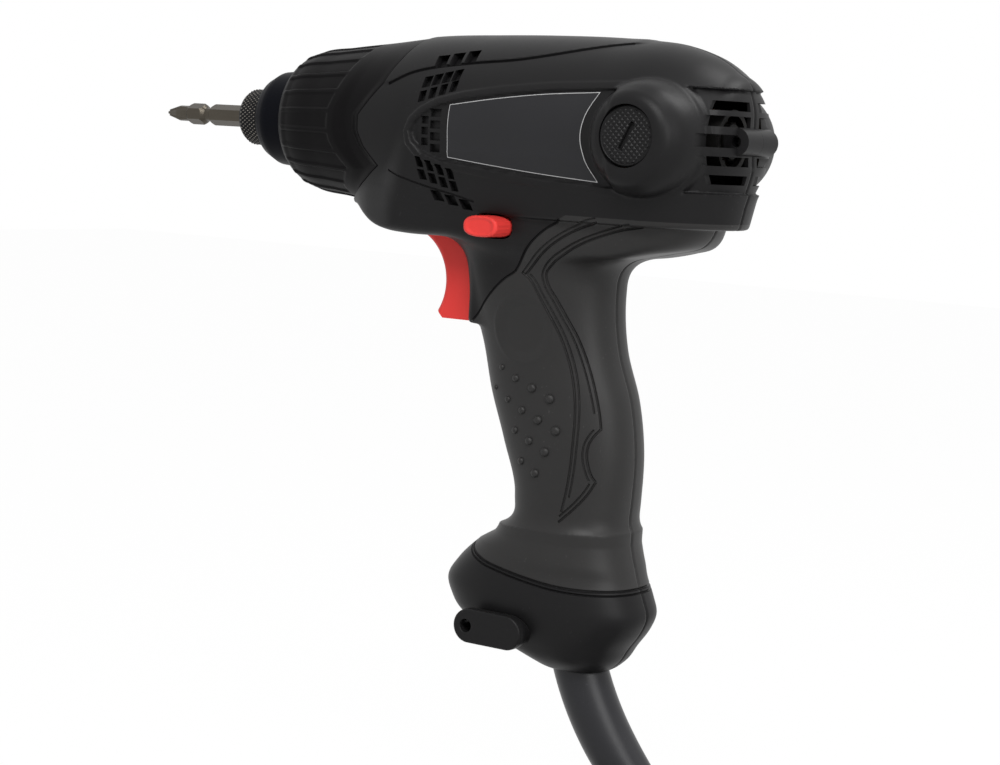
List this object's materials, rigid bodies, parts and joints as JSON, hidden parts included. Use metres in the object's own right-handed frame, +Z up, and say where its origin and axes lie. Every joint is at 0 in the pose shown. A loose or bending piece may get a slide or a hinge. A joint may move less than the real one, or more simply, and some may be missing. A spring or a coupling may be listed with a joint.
{
  "type": "electric screwdriver",
  "caption": "Corded pistol-grip impact screwdriver with a quick-change hex chuck, cross-tip bit, ridged nose boot, red trigger and reverse lever, and a coiled mains lead with plug.",
  "frame": {"origin": "middle of the hand grip, on the plane between the housing halves", "axes": "-X along the tool axis out through the bit, +X to the rear, -Y the left side with the nameplate, +Z up from the grip to the motor"},
  "size_m": [0.2973, 0.1238, 0.2772],
  "materials": {
    "housing_black": "satin moulded nylon",
    "grip_rubber": "fine grain overmould",
    "boot_rubber": "ridged soft boot",
    "nose_black": "satin",
    "trigger_red": "satin red",
    "label_grey": "bare plate",
    "bit_steel": "tan grey steel",
    "dark_steel": "blackened knurled steel",
    "machined_steel": "machined",
    "spring_steel": "drawn wire",
    "die_cast": "die cast",
    "bronze": "sintered bush",
    "copper": "enamelled copper",
    "lamination": "stacked sheets",
    "carbon": "carbon",
    "inner_plastic": "moulded",
    "cord_rubber": "matt",
    "pin_metal": "plated"
  },
  "bodies": {
    "housing": {"left_housing": "housing_black", "right_housing": "housing_black", "left_grip": "grip_rubber", "right_grip": "grip_rubber", "nose_boot": "boot_rubber", "nose_ring": "nose_black", "hammer_case": "die_cast", "anvil_bush": "bronze", "gear_plate": "die_cast", "ring_gear": "machined_steel", "spindle_bush": "bronze", "front_bearing": "machined_steel", "rear_bearing": "machined_steel", "stator_core": "lamination", "field_coils": "copper", "brush_holders": "bronze", "carbon_brushes": "carbon", "brush_springs": "spring_steel", "left_brush_cap": "housing_black", "right_brush_cap": "housing_black", "switch_body": "inner_plastic", "trigger_spring": "spring_steel", "name_plate": "label_grey", "strap_lug": "housing_black", "cord_guard": "cord_rubber", "cord_clamp": "inner_plastic", "cord_clamp_screws": "spring_steel", "housing_screws": "spring_steel", "cord": "cord_rubber", "cord_coil": "cord_rubber", "cord_tie": "cord_rubber", "plug_body": "cord_rubber", "plug_pins": "pin_metal"},
    "armature": {"armature_shaft": "machined_steel", "armature_core": "lamination", "armature_winding": "copper", "commutator": "copper", "fan": "inner_plastic"},
    "spindle": {"hammer_spindle": "machined_steel", "planet_pins": "machined_steel", "spring_washer": "machined_steel", "cam_balls": "machined_steel", "hammer_spring": "spring_steel"},
    "hammer": {"hammer": "machined_steel"},
    "planet_1": {"planet_gear_1": "machined_steel"},
    "planet_2": {"planet_gear_2": "machined_steel"},
    "planet_3": {"planet_gear_3": "machined_steel"},
    "anvil": {"anvil": "machined_steel", "driver_bit": "bit_steel", "lock_balls": "machined_steel", "retaining_ring": "spring_steel", "sleeve_spring": "spring_steel"},
    "chuck_sleeve": {"chuck_sleeve": "dark_steel"},
    "trigger": {"trigger": "trigger_red"},
    "reverse_lever": {"reverse_lever": "trigger_red"}
  },
  "joints": [
    {"name": "armature_spin", "type": "hinge", "parent": "housing", "child": "armature", "pos_m": [0, 0, 0.09], "axis": [1, 0, 0], "continuous": true},
    {"name": "spindle_spin", "type": "hinge", "parent": "housing", "child": "spindle", "pos_m": [-0.06, 0, 0.09], "axis": [1, 0, 0], "continuous": true},
    {"name": "anvil_spin", "type": "hinge", "parent": "housing", "child": "anvil", "pos_m": [-0.1, 0, 0.09], "axis": [1, 0, 0], "continuous": true},
    {"name": "hammer_slide", "type": "slide", "parent": "spindle", "child": "hammer", "axis": [1, 0, 0], "range_m": [0, 0.005], "stiffness_N_per_m": 6000, "springref_m": -0.006, "deforming": ["hammer_spring"]},
    {"name": "sleeve_slide", "type": "slide", "parent": "anvil", "child": "chuck_sleeve", "axis": [-1, 0, 0], "range_m": [0, 0.003], "stiffness_N_per_m": 900, "springref_m": -0.003, "deforming": ["sleeve_spring"]},
    {"name": "trigger_pull", "type": "slide", "parent": "housing", "child": "trigger", "axis": [1, 0, 0], "range_m": [0, 0.006], "stiffness_N_per_m": 800, "springref_m": -0.004, "deforming": ["trigger_spring"]},
    {"name": "reverse_push", "type": "slide", "parent": "housing", "child": "reverse_lever", "axis": [0, 1, 0], "range_m": [0, 0.007]},
    {"name": "planet_1_spin", "type": "hinge", "parent": "spindle", "child": "planet_1", "pos_m": [-0.058, 0.01125, 0.09], "axis": [1, 0, 0], "continuous": true},
    {"name": "planet_2_spin", "type": "hinge", "parent": "spindle", "child": "planet_2", "pos_m": [-0.058, -0.00562, 0.09974], "axis": [1, 0, 0], "continuous": true},
    {"name": "planet_3_spin", "type": "hinge", "parent": "spindle", "child": "planet_3", "pos_m": [-0.058, -0.00562, 0.08026], "axis": [1, 0, 0], "continuous": true}
  ],
  "couplings": [
    {"joint": "spindle_spin", "follows": "armature_spin", "ratio": 0.13333},
    {"joint": "anvil_spin", "follows": "armature_spin", "ratio": 0.13333},
    {"joint": "planet_1_spin", "follows": "armature_spin", "ratio": -0.31515},
    {"joint": "planet_2_spin", "follows": "armature_spin", "ratio": -0.31515},
    {"joint": "planet_3_spin", "follows": "armature_spin", "ratio": -0.31515}
  ]
}
